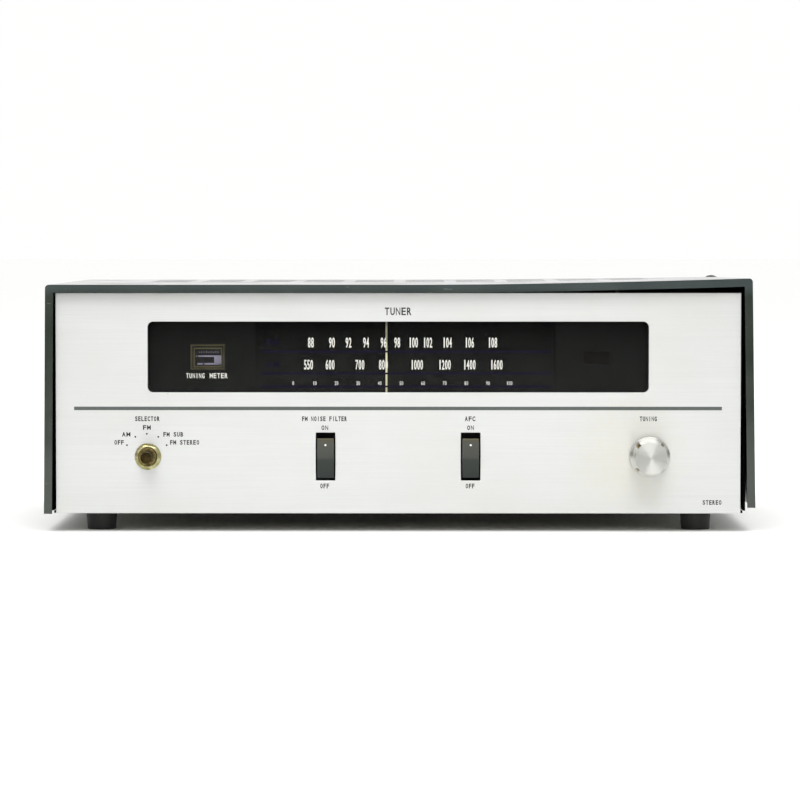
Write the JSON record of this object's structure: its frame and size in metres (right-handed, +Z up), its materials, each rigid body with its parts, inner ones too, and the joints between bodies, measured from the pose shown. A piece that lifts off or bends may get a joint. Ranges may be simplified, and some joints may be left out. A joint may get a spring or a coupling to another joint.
{
  "type": "vintage tube tuner",
  "caption": "Tabletop AM/FM stereo radio tuner with brushed faceplate, sheet-steel cover, dial drive, meter, selector, rockers and swing-out antenna.",
  "frame": {"origin": "middle of the footprint, on the surface that the feet stand on", "axes": "+X to the set's right seen from the front, +Y to the back, +Z up"},
  "size_m": [0.3809, 0.258, 0.1359],
  "materials": {
    "faceplate": "horizontally brushed, clear anodised",
    "steel": "bright zinc plated",
    "chassis": "cadmium plated, dulled",
    "cover_paint": "satin slate-grey baked enamel",
    "rubber": "moulded",
    "glass": "smoked and printed on the back",
    "tube_glass": "blown",
    "dial_black": "flat black",
    "pointer_cream": "cream moulded and painted",
    "lamp": "frosted festoon lamps in clips",
    "jewel": "dark red acrylic, unlit",
    "meter_case": "olive-brown moulded",
    "meter_scale": "printed aluminium",
    "meter_needle": "painted tip",
    "nylon": "natural nylon",
    "cord": "braided and waxed",
    "gang": "plated",
    "brass": "tarnished",
    "knob": "turned face, polished side",
    "phenolic": "paper phenolic",
    "rocker": "moulded black, worn",
    "black_plastic": "moulded",
    "lamination": "varnished laminations",
    "bell_paint": "black enamel",
    "aluminium_can": "drawn",
    "socket": "mica-filled phenolic",
    "ferrite": "fired ferrite, varnished"
  },
  "bodies": {
    "set": {"faceplate": "faceplate", "sub_panel": "steel", "bottom_plate": "steel", "foot_screws": "steel", "panel_screws": "steel", "glass_clips": "steel", "dial_bracket": "steel", "dial_spacers": "steel", "pointer_rail": "steel", "idler_posts": "steel", "antenna_screws": "steel", "antenna_bracket": "steel", "output_jacks": "steel", "chassis": "chassis", "cover": "cover_paint", "rear_panel": "cover_paint", "feet": "rubber", "cord_grommet": "rubber", "dial_glass": "glass", "tubes": "tube_glass", "dial_backplate": "dial_black", "dial_lamps": "lamp", "stereo_jewel": "jewel", "meter_case": "meter_case", "meter_scale": "meter_scale", "dial_cord": "cord", "gang_frame": "gang", "gang_stators": "gang", "tuning_bushing": "brass", "selector_bushing": "brass", "selector_nut": "brass", "selector_wafers": "phenolic", "power_switch": "phenolic", "multiplex_board": "phenolic", "antenna_board": "phenolic", "rocker_cases": "black_plastic", "fuse_holder": "black_plastic", "transformer_core": "lamination", "transformer_bells": "bell_paint", "filter_capacitor": "aluminium_can", "tube_shields": "aluminium_can", "if_transformers": "aluminium_can", "fm_front_end": "aluminium_can", "tube_sockets": "socket"},
    "tuning": {"tuning_shaft": "steel", "flywheel": "brass", "tuning_knob": "knob", "knob_set_screw": "steel"},
    "dial_drum": {"drum": "nylon", "gang_rotor": "steel"},
    "dial_pointer": {"pointer": "pointer_cream"},
    "idler_left": {"left_idler": "nylon"},
    "idler_right": {"right_idler": "nylon"},
    "selector": {"selector_shaft": "brass", "selector_rotors": "nylon"},
    "noise_filter": {"noise_filter_rocker": "rocker"},
    "afc": {"afc_rocker": "rocker"},
    "meter_hand": {"meter_needle": "meter_needle"},
    "antenna": {"antenna_holder": "black_plastic", "ferrite_rod": "ferrite"}
  },
  "joints": [
    {"name": "tuning_turn", "type": "hinge", "parent": "set", "child": "tuning", "pos_m": [0.1348, -0.09, 0.0404], "axis": [0, 1, 0], "range_deg": [-636.62, 840.34]},
    {"name": "drum_turn", "type": "hinge", "parent": "set", "child": "dial_drum", "pos_m": [0, -0.09, 0.08], "axis": [0, 1, 0], "range_deg": [-77.44, 102.21]},
    {"name": "pointer_slide", "type": "slide", "parent": "set", "child": "dial_pointer", "axis": [1, 0, 0], "range_m": [-0.05, 0.066]},
    {"name": "left_idler_turn", "type": "hinge", "parent": "set", "child": "idler_left", "pos_m": [-0.074, -0.0915, 0.1155], "axis": [0, 1, 0], "range_deg": [-440.75, 581.78]},
    {"name": "right_idler_turn", "type": "hinge", "parent": "set", "child": "idler_right", "pos_m": [0.078, -0.0915, 0.1155], "axis": [0, 1, 0], "range_deg": [-440.75, 581.78]},
    {"name": "selector_turn", "type": "hinge", "parent": "set", "child": "selector", "pos_m": [-0.1342, -0.1, 0.0404], "axis": [0, 1, 0], "range_deg": [0, 120]},
    {"name": "noise_filter_press", "type": "hinge", "parent": "set", "child": "noise_filter", "pos_m": [-0.0389, -0.1075, 0.0404], "axis": [-1, 0, 0], "range_deg": [0, 16]},
    {"name": "afc_press", "type": "hinge", "parent": "set", "child": "afc", "pos_m": [0.0389, -0.1075, 0.0404], "axis": [-1, 0, 0], "range_deg": [0, 16]},
    {"name": "meter_swing", "type": "hinge", "parent": "set", "child": "meter_hand", "pos_m": [-0.1021, -0.1043, 0.0864], "axis": [0, 1, 0], "range_deg": [0, 76], "stiffness_Nm_per_rad": 0.00002},
    {"name": "antenna_swing", "type": "hinge", "parent": "set", "child": "antenna", "pos_m": [0.1866, 0.122, 0.122], "axis": [0, 0, -1], "range_deg": [0, 90]}
  ],
  "couplings": [
    {"joint": "drum_turn", "follows": "tuning_turn", "ratio": 0.12162},
    {"joint": "pointer_slide", "follows": "tuning_turn", "m_per_rad": 0.0045},
    {"joint": "left_idler_turn", "follows": "tuning_turn", "ratio": 0.69231},
    {"joint": "right_idler_turn", "follows": "tuning_turn", "ratio": 0.69231}
  ]
}
